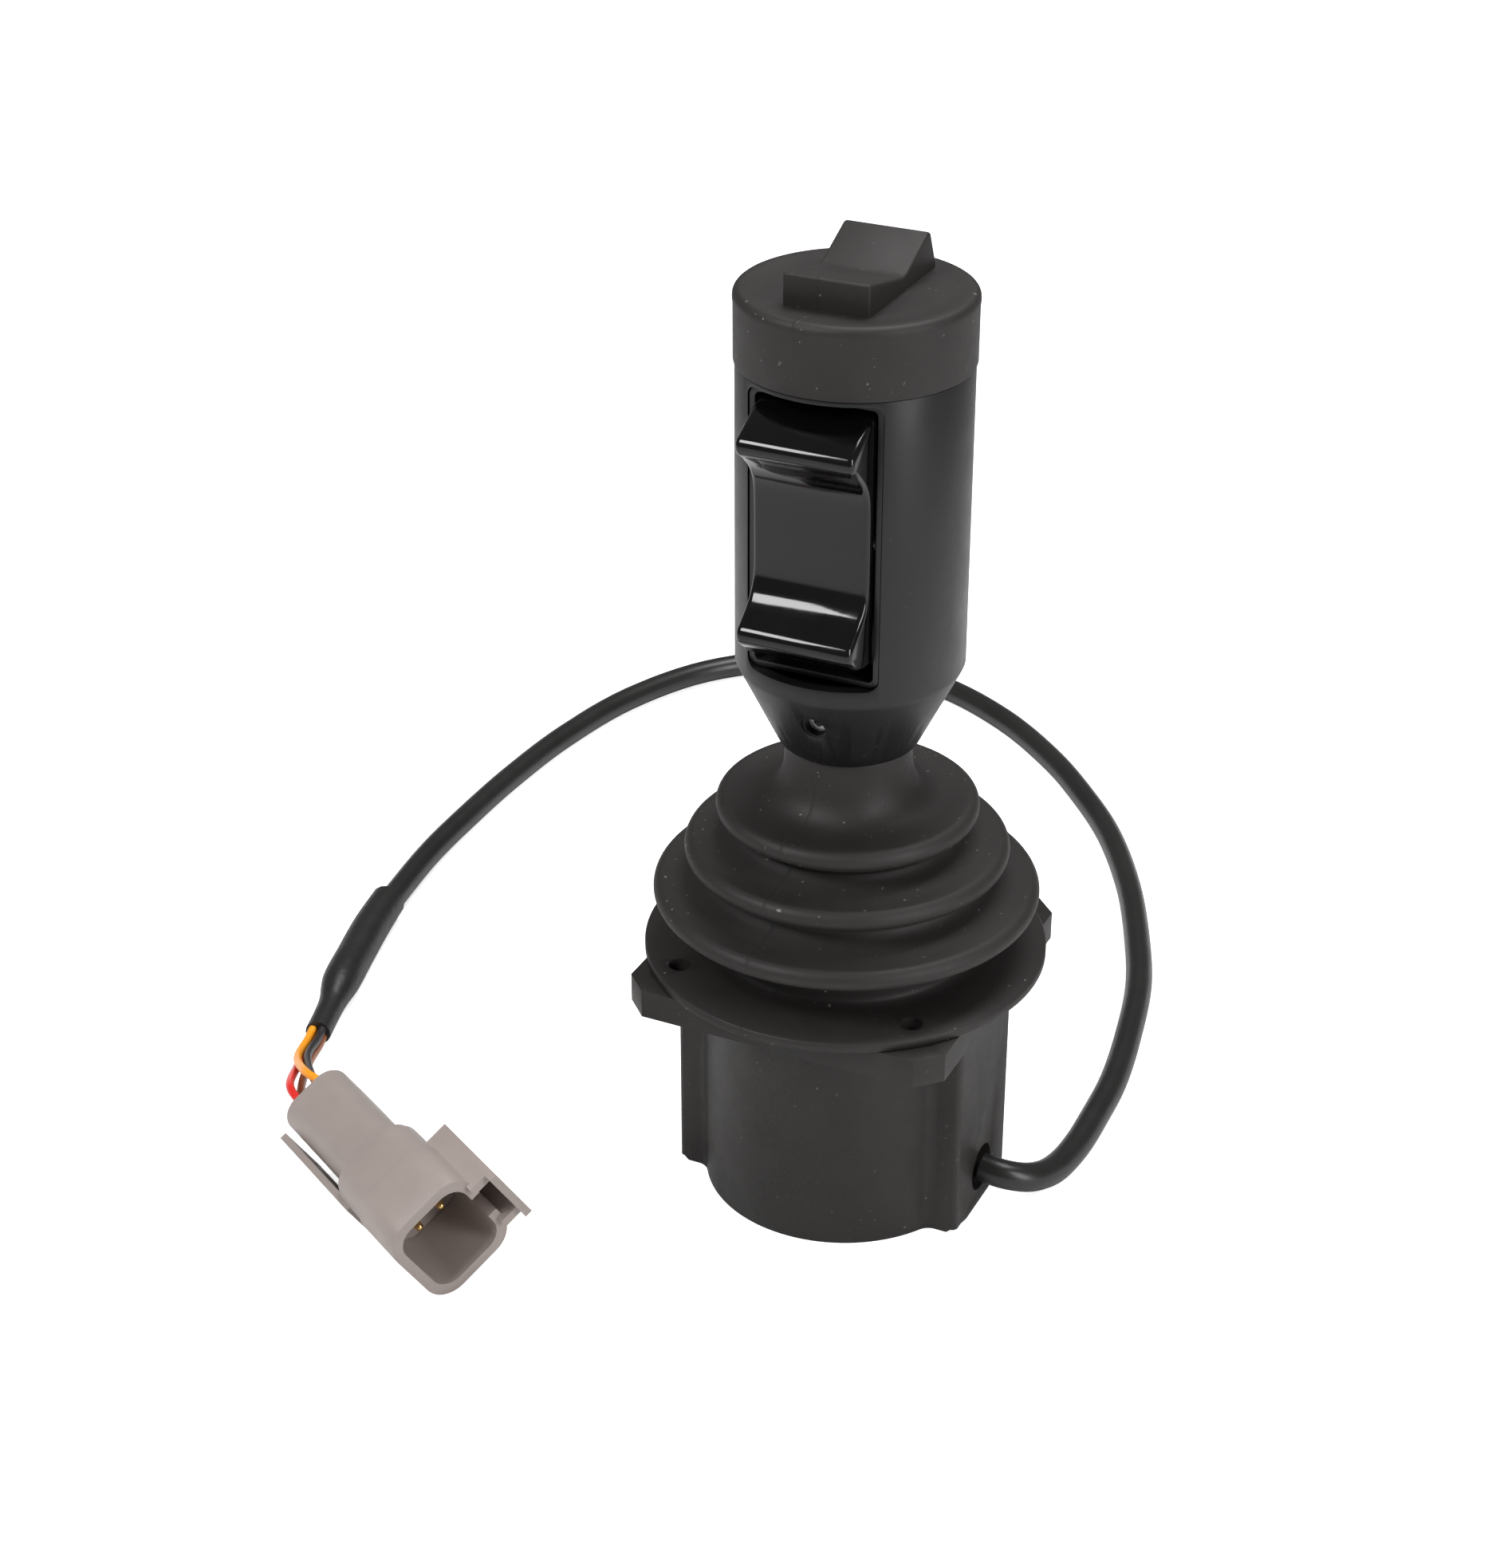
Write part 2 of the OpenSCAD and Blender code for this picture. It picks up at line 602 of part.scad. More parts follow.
// Grip: one turned tube with a cone, a window for the rocker and a neck for the cap
module grip_body() {
  edge = 0.7;
  color("#0d0d0e") difference() {
    rotate_extrude() polygon([[shaft_d / 2 + 0.02, cone_z], [cone_r - 0.3, cone_z],
      [cone_r, cone_z + 0.3], [grip_r - 0.55, shoulder_z - 0.3], [grip_r, shoulder_z + 0.9],
      [grip_r, tube_neck_z], [cap_seat_r, tube_neck_z], [cap_seat_r, tube_top - edge],
      [cap_seat_r - edge, tube_top], [cap_seat_r - grip_wall, tube_top],
      [cap_seat_r - grip_wall, tube_neck_z - 2.6], [bore_r, tube_neck_z - 4.6],
      [bore_r, shoulder_z + grip_floor], [shaft_d / 2 + 0.02, shoulder_z + grip_floor]]);
    translate([0, 0, window_z + window_h / 2]) rotate([90, 0, 0])
      linear_extrude(2 * grip_r) rounded(2 * window_half, window_h, window_round);
    rotate([0, 0, screw_azimuth]) translate([0, 0, cone_z + screw_rise]) {
      along_x(shaft_d / 2 - 1, grip_r, screw_d / 2 + fit_gap);
      along_x(cone_r + 3.2, grip_r, screw_d / 2 + 0.35);
    }
  }
}
module set_screw() {
  socket = 1.15;
  color("#26262a") rotate([0, 0, screw_azimuth]) translate([0, 0, cone_z + screw_rise])
    difference() {
      along_x(shaft_d / 2 + 0.05, cone_r + 1.6, screw_d / 2);
      translate([cone_r - 0.6, 0, 0]) rotate([0, 90, 0]) cylinder(r = socket, h = 4, $fn = 6);
    }
}
module window_bezel() {
  w = 2 * (window_half - bezel_gap);
  h = window_h - 2 * bezel_gap;
  front = sqrt(pow(grip_r, 2) - pow(window_half, 2)) - 0.25;
  mid = window_z + window_h / 2;
  color("#101010") difference() {
    translate([0, -bezel_back, mid]) rotate([90, 0, 0])
      linear_extrude(front - bezel_back) rounded(w, h, window_round - bezel_gap);
    translate([0, -bezel_back - bezel_back_t, mid]) rotate([90, 0, 0])
      linear_extrude(grip_r) rounded(w - 2 * bezel_wall, h - 2 * bezel_wall, 1);
    translate([0, -rocker_pin_y, rocker_z])
      along_x(-window_half, window_half, rocker_pin_d / 2 + press_gap);
    for (side = [-1, 1]) translate([0, 0, rocker_z + side * plunger_arm])
      rotate([90, 0, 0]) cylinder(d = plunger_d + 2 * fit_gap, h = grip_r);
  }
}
module rocker_pin() {
  color("silver") translate([0, -rocker_pin_y, rocker_z])
    along_x(-window_half + bezel_gap, window_half - bezel_gap, rocker_pin_d / 2);
}
module switch_body() {
  w = 18;
  d = 11;
  color("#2a2a2c") difference() {
    translate([-w / 2, -bezel_back + 0.02, rocker_z - plunger_arm - 8])
      cube([w, d, 2 * plunger_arm + 16]);
    for (side = [-1, 1]) translate([0, -bezel_back + 5, rocker_z + side * plunger_arm])
      rotate([90, 0, 0]) cylinder(d = plunger_d + 2 * fit_gap, h = grip_r);
  }
}
module switch_chassis() {
  half = 13;
  t = 2.5;
  low = shoulder_z + grip_floor + 0.05;
  color("#3a3a3c") translate([-half, -bezel_back + 11.05, low]) cube([2 * half, t, disc_z - 0.05 - low]);
}
module top_switch_body() {
  color("#2a2a2c") difference() {
    union() {
      translate([0, 0, disc_z]) cylinder(r = cap_seat_r - grip_wall - fit_gap, h = disc_t);
      translate([-7, -10, disc_z]) cube([14, 23, block_top - disc_z]);
      for (side = [-1, 1]) translate([side * (ear_in + ear_out) / 2 - (ear_out - ear_in) / 2,
        top_pin_y - 3, disc_z]) cube([ear_out - ear_in, 6, top_pin_z + 1.2 - disc_z]);
    }
    translate([0, top_pin_y, top_pin_z]) along_x(-cap_r, cap_r, top_pin_d / 2 + press_gap);
  }
}
module top_pin() {
  color("silver") translate([0, top_pin_y, top_pin_z])
    along_x(-ear_out + 0.1, ear_out - 0.1, top_pin_d / 2);
}
module grip_cap() {
  lip = 0.5;
  inner = cap_seat_r + run_gap;
  turn = 1.6;
  color("#24201e") difference() {
    rotate_extrude() polygon(concat([[inner, cap_z], [cap_r - lip, cap_z], [cap_r, cap_z + lip]],
      [for (a = [0:15:90]) [cap_r - turn + turn * cos(a), cap_top - turn + turn * sin(a)]],
      [[cap_r - 3.4, cap_top - 0.25], [0, cap_top - 0.3], [0, cap_top - cap_t],
      [inner, cap_top - cap_t]]));
    translate([-top_half - slot_gap - 0.1, top_front_y - 0.9, cap_top - cap_t - eps])
      cube([2 * (top_half + slot_gap + 0.1), top_rear_y - top_front_y + 1.5, cap_t + 2 * eps]);
  }
}

// Front rocker: one bent profile with two finger ledges, its ends rounded in plan
module rocker_profile() {
  tip = ledge_reach;
  y0 = rocker_pin_y + 1;
  polygon(concat([[-y0, rocker_z + 24.2], [-16.6, rocker_z + 24.2], [-17.6, rocker_z + 23.6]],
    [for (a = [60:20:240]) [-tip + 1.9 + 1.9 * cos(a + 20) , rocker_z + 18.2 + 1.9 * sin(a + 20)]],
    [[-20.4, rocker_z + 12.6], [-18.7, rocker_z + 8.2], [-18.5, rocker_z + 5],
    [-18.5, rocker_z - 8], [-19, rocker_z - 10.2], [-20.4, rocker_z - 12.4]],
    [for (a = [120:20:220]) [-tip + 2.5 + 2.1 * cos(a), rocker_z - 17.6 + 2.1 * sin(a)]],
    [[-tip + 2.4, rocker_z - 20.8], [-22, rocker_z - 22], [-17, rocker_z - 22.8],
    [-y0, rocker_z - 22.8]]));
}
module front_rocker() {
  color("#050505") difference() {
    union() {
      intersection() {
        translate([-rocker_half, 0, 0]) rotate([90, 0, 90]) linear_extrude(2 * rocker_half)
          rocker_profile();
        translate([0, 0, rocker_z - 40]) linear_extrude(80)
          translate([0, -ledge_reach + 13]) rounded(2 * rocker_half, 26, 2.2);
      }
      translate([0, -rocker_pin_y, rocker_z])
        along_x(-rocker_half, rocker_half, rocker_pin_d / 2 + 1.4);
    }
    translate([0, -rocker_pin_y, rocker_z])
      along_x(-rocker_half - 1, rocker_half + 1, rocker_pin_d / 2 + run_gap);
  }
}
module plunger(side) {
  tip_gap = 0.5;
  color("#c9c4b4") translate([0, -rocker_pin_y - 1 + tip_gap, rocker_z + side * plunger_arm])
    rotate([-90, 0, 0]) cylinder(d = plunger_d, h = rocker_pin_y + 1 - tip_gap - bezel_back + 2.5);
}
module upper_plunger() {
  plunger(1);
}
module lower_plunger() {
  plunger(-1);
}
module top_profile() {
  polygon([[top_front_y, cap_top - 0.3], [top_front_y, cap_top + top_front_h - 0.5],
    [top_front_y + 0.5, cap_top + top_front_h], [0.5, cap_top + 2.6], [2.5, cap_top + 2.5],
    [11.6, cap_top + top_rear_h - 0.6], [12.6, cap_top + top_rear_h - 0.2],
    [13.4, cap_top + top_rear_h - 0.9], [top_rear_y, cap_top + 0.8], [top_rear_y, cap_top - 0.3]]);
}
module top_rocker() {
  color("#1f1c1a") difference() {
    union() {
      intersection() {
        translate([-top_half, 0, 0]) rotate([90, 0, 90]) linear_extrude(2 * top_half) top_profile();
        translate([0, (top_front_y + top_rear_y) / 2, cap_top - 1]) linear_extrude(top_rear_h + 2)
          rounded(2 * top_half, top_rear_y - top_front_y, 1.5);
      }
      intersection() {
        translate([-top_half, top_front_y, top_pin_z - 1])
          cube([2 * top_half, top_rear_y - top_front_y, cap_top - top_pin_z + 1]);
        translate([0, top_pin_y, top_pin_z]) along_x(-top_half, top_half, top_arc_r);
      }
      translate([0, top_pin_y, top_pin_z]) along_x(-top_half, top_half, top_pin_d / 2 + 1.2);
    }
    translate([0, top_pin_y, top_pin_z])
      along_x(-top_half - 1, top_half + 1, top_pin_d / 2 + run_gap);
  }
}

base_housing();
bottom_cover();
cover_screws();
sensor_board();
board_parts();
board_screws();
cable_tie();
cable_grommet();
bellows();
cable();
shrink_sleeve();
orange_wire();
red_wire();
black_wire();
brown_wire();
connector_body();
connector_wedge();
contact_pins();
rear_seal();
gimbal_ring();
ring_pins();
ring_springs();
lever_shaft();
hub_pins();
hub_springs();
magnet();
grip_body();
set_screw();
window_bezel();
rocker_pin();
switch_body();
switch_chassis();
top_switch_body();
top_pin();
grip_cap();
front_rocker();
upper_plunger();
lower_plunger();
top_rocker();
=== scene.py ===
# %% [markdown]
# # An industrial joystick
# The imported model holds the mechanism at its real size. This lesson dresses it: it builds the
# rubber bellows, the rubber cap with its hood, the glossy rocker and the lead as fine meshes and
# curves, softens the edges of the moulded and turned parts, and gives each finish its own nodes.

# %% Load the frame
import json
import math

import bmesh
import bpy
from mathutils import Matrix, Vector

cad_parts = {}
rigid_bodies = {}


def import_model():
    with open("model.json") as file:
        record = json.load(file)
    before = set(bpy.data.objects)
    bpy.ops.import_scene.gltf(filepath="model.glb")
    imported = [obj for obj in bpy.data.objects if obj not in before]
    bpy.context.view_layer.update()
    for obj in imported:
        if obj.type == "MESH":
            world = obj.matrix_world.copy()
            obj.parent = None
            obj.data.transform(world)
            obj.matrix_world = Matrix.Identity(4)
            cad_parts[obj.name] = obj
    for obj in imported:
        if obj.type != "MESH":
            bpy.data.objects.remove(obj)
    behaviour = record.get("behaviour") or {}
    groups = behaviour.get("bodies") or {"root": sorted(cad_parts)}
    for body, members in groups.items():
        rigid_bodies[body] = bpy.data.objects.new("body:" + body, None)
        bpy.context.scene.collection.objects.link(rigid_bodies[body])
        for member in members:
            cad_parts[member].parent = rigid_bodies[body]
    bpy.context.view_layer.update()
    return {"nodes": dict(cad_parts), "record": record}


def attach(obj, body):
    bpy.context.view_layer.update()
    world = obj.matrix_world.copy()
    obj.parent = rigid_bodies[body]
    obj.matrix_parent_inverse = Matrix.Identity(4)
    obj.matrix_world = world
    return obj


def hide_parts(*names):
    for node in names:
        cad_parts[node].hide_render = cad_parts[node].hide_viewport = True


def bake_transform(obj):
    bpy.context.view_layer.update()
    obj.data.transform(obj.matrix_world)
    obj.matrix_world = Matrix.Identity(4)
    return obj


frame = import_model()
record = frame["record"]
slot_of = {part["node"]: part["material_slot"] for part in record["subparts"]}
body_of_node = {n: body for body, names in record["behaviour"]["bodies"].items() for n in names}
MM = 0.001

# %% [markdown]
# ## Camera
# A long lens well back keeps the grip's sides nearly parallel, as in a product picture. The
# camera looks down about 29 degrees, from a little to the right of the front.

# %% Camera
EYE = Vector((0.19795, -0.45964, 0.35894))
LOOK = Vector((-0.37656, 0.79233, -0.48002))
camera_data = bpy.data.cameras.new("camera")
camera_data.lens = 70.68
camera_data.sensor_width = 36
camera = bpy.data.objects.new("camera", camera_data)
camera.location = EYE
camera.rotation_euler = LOOK.to_track_quat("-Z", "Y").to_euler()
bpy.context.scene.collection.objects.link(camera)
bpy.context.scene.camera = camera
print("camera looks down", round(math.degrees(math.asin(-LOOK.z / LOOK.length)), 1), "degrees")

# %% [markdown]
# ## Smooth curves
# A spline through a few given points gives both the outline of a turned part and the line
# of a cable. One small function serves for flat points and for points in space.


# %% Curve helpers
def knot(before, start, end, after, t):
    """One value of the smooth curve between start and end."""
    return 0.5 * (2 * start + t * (end - before)
                  + t * t * (2 * before - 5 * start + 4 * end - after)
                  + t ** 3 * (3 * start - 3 * end + after - before))


def smooth(points, steps):
    """More points on a smooth curve through the given ones."""
    found = []
    last = len(points) - 1
    for i in range(last):
        four = [points[max(i - 1, 0)], points[i], points[i + 1], points[min(i + 2, last)]]
        for k in range(steps):
            found.append(tuple(knot(*values, k / steps) for values in zip(*four)))
    return found + [tuple(points[last])]


def arc(centre, radius, first, last, step=15):
    """Points round an arc, in degrees."""
    count = max(1, round(abs(last - first) / step))
    angles = [math.radians(first + (last - first) * k / count) for k in range(count + 1)]
    return [(centre[0] + radius * math.cos(a), centre[1] + radius * math.sin(a)) for a in angles]


def tube(name, points, radii):
    """A round tube as a curve, with one radius or one for each point, in metres."""
    data = bpy.data.curves.new(name, "CURVE")
    data.dimensions = "3D"
    data.bevel_resolution = 6
    data.use_fill_caps = True
    data.bevel_depth = 1
    spline = data.splines.new("POLY")
    spline.points.add(len(points) - 1)
    for i, (point, place) in enumerate(zip(spline.points, points)):
        point.co = (*place, 1)
        point.radius = radii[i] if isinstance(radii, list) else radii
    piece = bpy.data.objects.new(name, data)
    bpy.context.scene.collection.objects.link(piece)
    return piece


# %% [markdown]
# ## The lead
# The cable leaves the lobe at the base's right, drops to the floor and lies in one wide loop
# behind the joystick. Its far end is gripped by a heat-shrunk sleeve, from which four wires run
# to the connector. The points repeat the route that the model was built on.

# %% Cable route
cable_d = 5.7
floor_z = cable_d / 2
cable_route = [[14, 0, 7.8], [22, 0, 7.8], [29.5, 0, 7.8], [34.5, 0.6, 7],
               [38.6, 4.2, 5.4], [40.8, 11, 3.7], [41.6, 21, floor_z], [41.4, 33, floor_z],
               [40.6, 46, floor_z], [38, 62, floor_z], [33.5, 82, floor_z], [27, 100, floor_z],
               [17.7, 121, floor_z], [5.5, 142, floor_z], [-8, 159, floor_z],
               [-21, 172.5, floor_z], [-38, 186, floor_z], [-58, 196, floor_z],
               [-79, 199, floor_z], [-99, 194, floor_z], [-117, 178.5, floor_z],
               [-128, 156, floor_z], [-133, 131, floor_z], [-134.6, 108, floor_z],
               [-134.6, 88, floor_z], [-133.6, 66, floor_z], [-130, 42, floor_z + 0.4]]
cable_exit = 2
inside_sleeve = [[-127.6, 31, 3.9], [-124.5, 19.5, 4.1], [-121.4, 8.5, 4.1]]
shown_route = cable_route[cable_exit:] + inside_sleeve
cable_line = [tuple(v * MM for v in p) for p in smooth(shown_route, 6)]
cable = tube("lead_cable", cable_line, cable_d / 2 * MM)
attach(cable, "base")
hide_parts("cable")

# %% Sleeve and wires
sleeve_route = [[-130, 42, 4.1], [-127.6, 31, 4.1], [-124.5, 19.5, 4.1], [-121.4, 8.5, 4.1],
                [-118.8, 0.5, 3.6], [-115.6, -9.8, 3.6]]
sleeve_radii = [[3.9], [4.1], [4.1], [4.05], [2.85], [2.7]]
sleeve_line = [tuple(v * MM for v in p) for p in smooth(sleeve_route, 8)]
sleeve = tube("heat_shrink_sleeve", sleeve_line, [r[0] * MM for r in smooth(sleeve_radii, 8)])
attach(sleeve, "base")
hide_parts("shrink_sleeve")

plug_at = Vector((-48.6, -69, 12.256))
plug_yaw = math.radians(-31)
plug_roll = math.radians(-57)
contact_pitch = 5.6
wire_r = 0.85
plug_back = -49


def plug_point(x, y, z):
    """A point given in the connector's own frame, in the part's frame."""
    side = y * math.cos(plug_roll) - z * math.sin(plug_roll)
    rise = y * math.sin(plug_roll) + z * math.cos(plug_roll)
    return plug_at + Vector((x * math.cos(plug_yaw) - side * math.sin(plug_yaw),
                             x * math.sin(plug_yaw) + side * math.cos(plug_yaw), rise))


sleeve_end = Vector(sleeve_route[-1])
sleeve_way = (sleeve_end - Vector(sleeve_route[-2])).normalized()
wires = []
for node, y, z, shift in (("orange_wire", -1, 1, (-0.95, -0.35, 0.95)),
                          ("red_wire", -1, -1, (-0.95, -0.35, -0.95)),
                          ("black_wire", 1, 1, (0.95, 0.35, 0.95)),
                          ("brown_wire", 1, -1, (0.95, 0.35, -0.95))):
    start = sleeve_end + Vector(shift) + 0.05 * sleeve_way
    route = [start, start + 4 * sleeve_way, start + 12 * sleeve_way + Vector((1.5, -2, 2.4)),
             plug_point(plug_back - 12, y * 2, z * 2)]
    for back in (-5, 1):
        route.append(plug_point(plug_back + back, y * contact_pitch / 2, z * contact_pitch / 2))
    wire = tube(node + "_lead", [tuple(v * MM for v in p) for p in smooth(route, 8)], wire_r * MM)
    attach(wire, "base")
    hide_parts(node)
    wires.append(wire)
print("sleeve and", len(wires), "wires")

# %% [markdown]
# ## Meshes from outlines
# A turned part is an outline spun round the axis; a moulded bar is an outline pushed along X.
# A bevel modifier then rounds the moulded pieces' sharp edges.


# %% Mesh helpers
def place_mesh(name, verts, faces):
    """A new mesh object, from points in millimetres."""
    mesh = bpy.data.meshes.new(name)
    mesh.from_pydata([tuple(v * MM for v in p) for p in verts], [], faces)
    work = bmesh.new()
    work.from_mesh(mesh)
    bmesh.ops.recalc_face_normals(work, faces=work.faces)
    work.to_mesh(mesh)
    work.free()
    piece = bpy.data.objects.new(name, mesh)
    bpy.context.scene.collection.objects.link(piece)
    return piece


TURN_STEPS = 160


def spin(name, outline):
    """Spins a closed outline of (radius, height) points round the Z axis."""
    count = len(outline)
    verts = []
    for j in range(TURN_STEPS):
        turn = 2 * math.pi * j / TURN_STEPS
        verts += [(r * math.cos(turn), r * math.sin(turn), z) for r, z in outline]
    faces = []
    for j in range(TURN_STEPS):
        here, there = j * count, (j + 1) % TURN_STEPS * count
        for i in range(count):
            k = (i + 1) % count
            faces.append((here + i, there + i, there + k, here + k))
    piece = place_mesh(name, verts, faces)
    piece.data.shade_smooth()
    return piece


def bar(name, outline, half):
    """Pushes a closed outline of (y, z) points along X, from -half to half."""
    count = len(outline)
    verts = [(x, y, z) for x in (-half, half) for y, z in outline]
    faces = [tuple(range(count)), tuple(range(2 * count - 1, count - 1, -1))]
    faces += [(i, (i + 1) % count, count + (i + 1) % count, count + i) for i in range(count)]
    return place_mesh(name, verts, faces)


def apply_modifiers(piece):
    """Turns what the piece's modifiers make into its own mesh."""
    bpy.context.view_layer.update()
    solved = piece.evaluated_get(bpy.context.evaluated_depsgraph_get())
    mesh = bpy.data.meshes.new_from_object(solved)
    piece.modifiers.clear()
    piece.data = mesh


def rounded(piece, width, segments, angle=30):
    """Bevels the sharp edges, applies it, and shades the piece smooth but for its corners."""
    bevel = piece.modifiers.new("edges", "BEVEL")
    bevel.width = width * MM
    bevel.segments = segments
    bevel.limit_method = "ANGLE"
    bevel.angle_limit = math.radians(angle)
    bevel.use_clamp_overlap = True
    apply_modifiers(piece)
    piece.data.shade_smooth()
    piece.data.set_sharp_from_angle(angle=math.radians(38))
    return piece


def softened(node, width):
    """A copy of a CAD node whose edges are rounded a little, standing for that node."""
    source = frame["nodes"][node]
    piece = bpy.data.objects.new(node + "_soft", source.data.copy())
    piece.data.transform(source.matrix_world)
    piece.data.materials.clear()
    bpy.context.scene.collection.objects.link(piece)
    work = bmesh.new()
    work.from_mesh(piece.data)
    bmesh.ops.remove_doubles(work, verts=work.verts, dist=0.002 * MM)
    bmesh.ops.dissolve_limit(work, angle_limit=math.radians(1), verts=work.verts, edges=work.edges)
    work.to_mesh(piece.data)
    work.free()
    rounded(piece, width, 2)
    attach(piece, body_of_node[node])
    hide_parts(node)
    return piece


# %% [markdown]
# ## Bellows
# The boot is a moulded rubber tube with three round beads over a flat flange. The real boot
# follows the lever, which tilts on two crossed axes; here it is made in two fixed lengths that
# meet in a valley: the lower one from the base to the gimbal ring and the upper one from the
# ring to the lever.

# %% Bellows outline
plate_top = 50.8
boot_top = 95.3
flange_r = 38.1
flange_top = plate_top + 2
beads = [(34.34, plate_top + 13.4), (28.42, plate_top + 22.25), (22.5, plate_top + 31.1)]
bead_round = 2
split_z = beads[1][1] + 4.9
valley = (beads[1][0] - 8.1, split_z)
foot = [(26.4, 52.85), (25.2, 53.4), (24.8, 54.6), (24.8, 58), (25.1, 60), (26.6, 61.3),
        (29.5, 61.9)]


def over(bead):
    """Points from a bead's top back to the valley above it, and out under the next bead."""
    r, z = bead
    return [(r - 2.6, z + 2.15), (r - 5, z + 2.9), (r - 7, z + 3.8), (r - 8, z + 4.9),
            (r - 7.7, z + 5.9), (r - 7, z + 6.5)]


flange = [(23, plate_top), (flange_r - 0.3, plate_top), (flange_r, plate_top + 0.3),
          (flange_r, flange_top - 0.3), (flange_r - 0.3, flange_top), (27.6, flange_top)]
middle = over(beads[0])
low_skin = foot + arc(beads[0], bead_round, -100, 85) + middle + arc(beads[1], bead_round, -90, 85)
low_skin += over(beads[1])[:3] + [valley]
high_skin = [valley] + over(beads[1])[4:] + arc(beads[2], bead_round, -90, 95)
high_skin += [(20.6, 83.75), (18, 83.7), (15.6, 84.3), (13.6, 85.9), (12.4, 88.2), (11.9, 91),
              (11.8, 93.5), (11.8, boot_top)]
low_inside = [(17.9, split_z), (18.6, 74), (22.6, 69.5), (22.9, 60), (23, 54)]
high_inside = [(9.85, boot_top), (9.85, 86.8), (13, 84.6), (17.6, 80), (17.9, split_z)]
print("bellows outlines", len(low_skin), len(high_skin))

# %% Bellows meshes
low_bellows = spin("bellows_lower", flange + smooth(low_skin, 3) + low_inside)
high_bellows = spin("bellows_upper", smooth(high_skin, 3) + high_inside)


def drill(piece, places, radius, low, high):
    """Cuts round holes down through a piece."""
    for x, y in places:
        bpy.ops.mesh.primitive_cylinder_add(
            vertices=48, radius=radius * MM, depth=(high - low) * MM,
            location=(x * MM, y * MM, (low + high) / 2 * MM))
        drill_bit = bpy.context.object
        cut = piece.modifiers.new("hole", "BOOLEAN")
        cut.operation = "DIFFERENCE"
        cut.solver = "EXACT"
        cut.object = drill_bit
        apply_modifiers(piece)
        bpy.data.objects.remove(drill_bit)


hole_half = 46.9 / 2
hole_r = 2.1
hole_places = [(x, y) for x in (-hole_half, hole_half) for y in (-hole_half, hole_half)]
drill(low_bellows, hole_places, hole_r, plate_top - 1.8, flange_top + 1.2)
low_bellows.data.shade_smooth()
low_bellows.data.set_sharp_from_angle(angle=math.radians(50))
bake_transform(low_bellows)
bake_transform(high_bellows)
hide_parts("bellows")
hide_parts("bellows")
print("bellows faces", len(low_bellows.data.polygons) + len(high_bellows.data.polygons))

# %% [markdown]
# ## Rubber cap and hood
# The cap is turned, with a soft raised rim. The hood over the top rocker is a wedge with a low
# valley across it.

# %% Cap
cap_low, cap_top, cap_r = 168.8, 181.9, 21.2
cap_outline = [(19.3, cap_low), (cap_r - 0.45, cap_low), (cap_r - 0.1, cap_low + 0.15),
               (cap_r, cap_low + 0.5), (cap_r, cap_top - 2.6), (cap_r + 0.1, cap_top - 1.9)]
cap_outline += arc((cap_r - 1.3, cap_top - 1.4), 1.4, 0, 90)
cap_outline += [(cap_r - 2.4, cap_top - 0.05), (cap_r - 3.6, cap_top - 0.28),
                (cap_r - 6, cap_top - 0.34), (8, cap_top - 0.34), (2, cap_top - 0.34),
                (2, cap_top - 2.5), (19.3, cap_top - 2.5)]
cap = spin("rubber_cap", cap_outline)
cap.data.set_sharp_from_angle(angle=math.radians(40))
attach(cap, "lever")
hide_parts("grip_cap")

# %% Hood
front_y, rear_y, hood_half = -13, 16, 8
hood_outline = [(front_y, cap_top - 0.9), (front_y, cap_top + 5.4), (0.2, cap_top + 2.55)]
hood_outline += [(1.6, cap_top + 2.3), (3, cap_top + 2.55)]
hood_outline += [(12.4, cap_top + 6.9), (13.4, cap_top + 6.5), (rear_y, cap_top + 0.5),
                 (rear_y, cap_top - 0.9)]
hood = bar("rubber_hood", hood_outline, hood_half)
rounded(hood, 0.9, 5, 25)
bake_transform(hood)
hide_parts("top_rocker")
print("cap and hood", len(cap.data.polygons), len(hood.data.polygons))

# %% [markdown]
# ## Front rocker
# One glossy moulding carries two finger ledges over a flat middle. The outline is drawn from the
# side, with arcs for the ledges' lips, and the ends are rounded with a wide bevel.

# %% Front rocker
rocker_z = 142
rocker_half = 11
ledge = 25.9
back = -15
rocker_outline = [(back, rocker_z + 24.2), (-16.4, rocker_z + 24.2)]
rocker_outline += arc((-ledge + 2.1, rocker_z + 18), 2.1, 125, 250, 12)
face = smooth([(-22.6, rocker_z + 14.3), (-20.6, rocker_z + 12.3), (-19.1, rocker_z + 9.6),
               (-18.6, rocker_z + 6), (-18.5, rocker_z), (-18.5, rocker_z - 6),
               (-18.8, rocker_z - 9), (-20, rocker_z - 11.6), (-22, rocker_z - 13.6)], 4)
rocker_outline += face + arc((-ledge + 2.5, rocker_z - 17.4), 2.2, 125, 235, 12)
rocker_outline += [(-22.2, rocker_z - 21.4), (-18, rocker_z - 22.6), (back, rocker_z - 22.8)]
rocker = bar("gloss_rocker", rocker_outline, rocker_half)
rounded(rocker, 1.5, 6, 32)
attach(rocker, "front_rocker")
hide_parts("front_rocker")
print("rocker faces", len(rocker.data.polygons))

# %% [markdown]
# ## Moulded and turned parts
# Real edges are never knife-sharp: a small round on each catches the light. These copies of the
# modelled parts keep their shape and only gain that round.

# %% Softened parts
for node, width in (("base_housing", 0.35), ("grip_body", 0.18), ("connector_body", 0.35),
                    ("window_bezel", 0.2)):
    piece = softened(node, width)
    print(node, "faces", len(piece.data.polygons))

